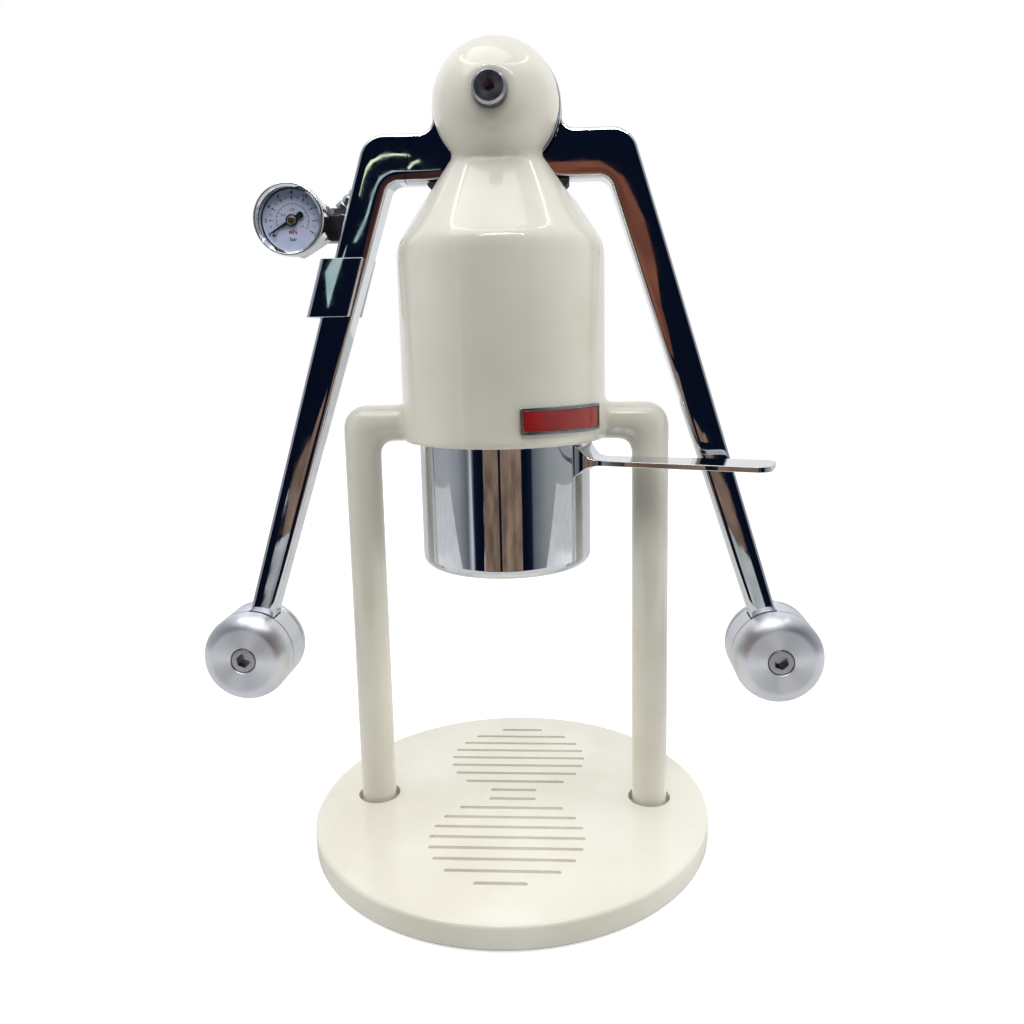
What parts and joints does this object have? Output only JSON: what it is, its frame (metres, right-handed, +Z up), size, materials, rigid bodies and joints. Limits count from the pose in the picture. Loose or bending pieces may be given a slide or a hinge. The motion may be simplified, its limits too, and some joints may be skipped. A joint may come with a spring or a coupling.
{
  "type": "lever espresso machine",
  "caption": "Hand-powered espresso machine: cream casting on two legs and a grooved round base, two chrome arms with aluminium knobs, gauge on the left arm, flat-handled portafilter.",
  "frame": {"origin": "on the body's vertical axis at the table, at the underside of the base mat", "axes": "+Z up along the body and piston, -Y to the front where the gauge faces, +X to the right arm"},
  "size_m": [0.2486, 0.16, 0.3079],
  "materials": {
    "cream_paint": "gloss",
    "rubber": "matte",
    "steel": "satin",
    "badge_silver": "satin",
    "badge_red": "gloss",
    "bronze": "satin",
    "braided_hose": "satin",
    "polished_chrome": "polished",
    "brushed_aluminium": "satin",
    "black_anodised": "matte",
    "stainless": "satin",
    "gauge_glass": "clear",
    "dial_white": "satin",
    "brass": "satin",
    "needle_black": "satin",
    "silicone": "matte"
  },
  "bodies": {
    "frame": {"base_plate": "cream_paint", "base_mat": "rubber", "left_leg_screw": "steel", "right_leg_screw": "steel", "body_casting": "cream_paint", "locking_ring": "steel", "badge_frame": "badge_silver", "badge_field": "badge_red", "left_arm_stop": "rubber", "right_arm_stop": "rubber", "axle": "steel", "axle_nut": "steel", "rod_bush": "bronze", "hose_grommet": "rubber", "outer_hose": "braided_hose", "inner_hose": "braided_hose"},
    "left_lever": {"left_hub": "polished_chrome", "left_arm": "polished_chrome", "lower_joint_screw": "steel", "upper_joint_screw": "steel", "left_hub_bush": "bronze", "left_crank_pin": "steel", "left_knob_front": "brushed_aluminium", "left_knob_rear": "brushed_aluminium", "left_knob_cap": "brushed_aluminium", "left_knob_screw": "steel", "gauge_clip": "polished_chrome", "clip_screw": "steel", "manifold_block": "black_anodised", "block_screw": "steel", "hose_elbow": "stainless", "gauge_adapter": "stainless", "gauge_case": "polished_chrome", "gauge_bezel": "polished_chrome", "gauge_glass": "gauge_glass", "gauge_dial": "dial_white", "gauge_movement": "brass", "gauge_stop_pin": "brass"},
    "needle": {"gauge_needle": "needle_black", "needle_hub": "brass"},
    "right_lever": {"right_arm": "polished_chrome", "right_hub_bush": "bronze", "right_crank_pin": "steel", "right_knob_front": "brushed_aluminium", "right_knob_rear": "brushed_aluminium", "right_knob_cap": "brushed_aluminium", "right_knob_screw": "steel"},
    "piston": {"yoke": "steel", "yoke_pin": "steel", "piston_rod": "stainless", "piston_head": "stainless", "piston_seal": "silicone", "piston_screen": "stainless", "piston_screw": "steel", "piston_fitting": "steel"},
    "portafilter": {"portafilter_cup": "polished_chrome", "portafilter_handle": "polished_chrome", "filter_basket": "stainless", "coffee_screen": "stainless"}
  },
  "joints": [
    {"name": "left_arm_lift", "type": "hinge", "parent": "frame", "child": "left_lever", "pos_m": [0, 0, 0.284], "axis": [0, 1, 0], "range_deg": [0, 97]},
    {"name": "right_arm_lift", "type": "hinge", "parent": "frame", "child": "right_lever", "pos_m": [0, 0, 0.284], "axis": [0, -1, 0], "range_deg": [0, 97]},
    {"name": "piston_travel", "type": "slide", "parent": "frame", "child": "piston", "axis": [0, 0, 1], "range_m": [0, 0.0293], "deforming": ["inner_hose"]},
    {"name": "portafilter_turn", "type": "hinge", "parent": "frame", "child": "portafilter", "pos_m": [0, 0, 0], "axis": [0, 0, 1], "range_deg": [-45, 0]},
    {"name": "gauge_needle_turn", "type": "hinge", "parent": "left_lever", "child": "needle", "pos_m": [-0.079, 0, 0.246], "axis": [0, 1, 0], "range_deg": [0, 240], "stiffness_Nm_per_rad": 0.00002}
  ],
  "couplings": [
    {"joint": "right_arm_lift", "follows": "left_arm_lift", "ratio": 1},
    {"joint": "piston_travel", "follows": "left_arm_lift", "m_per_rad": 0.01722}
  ]
}
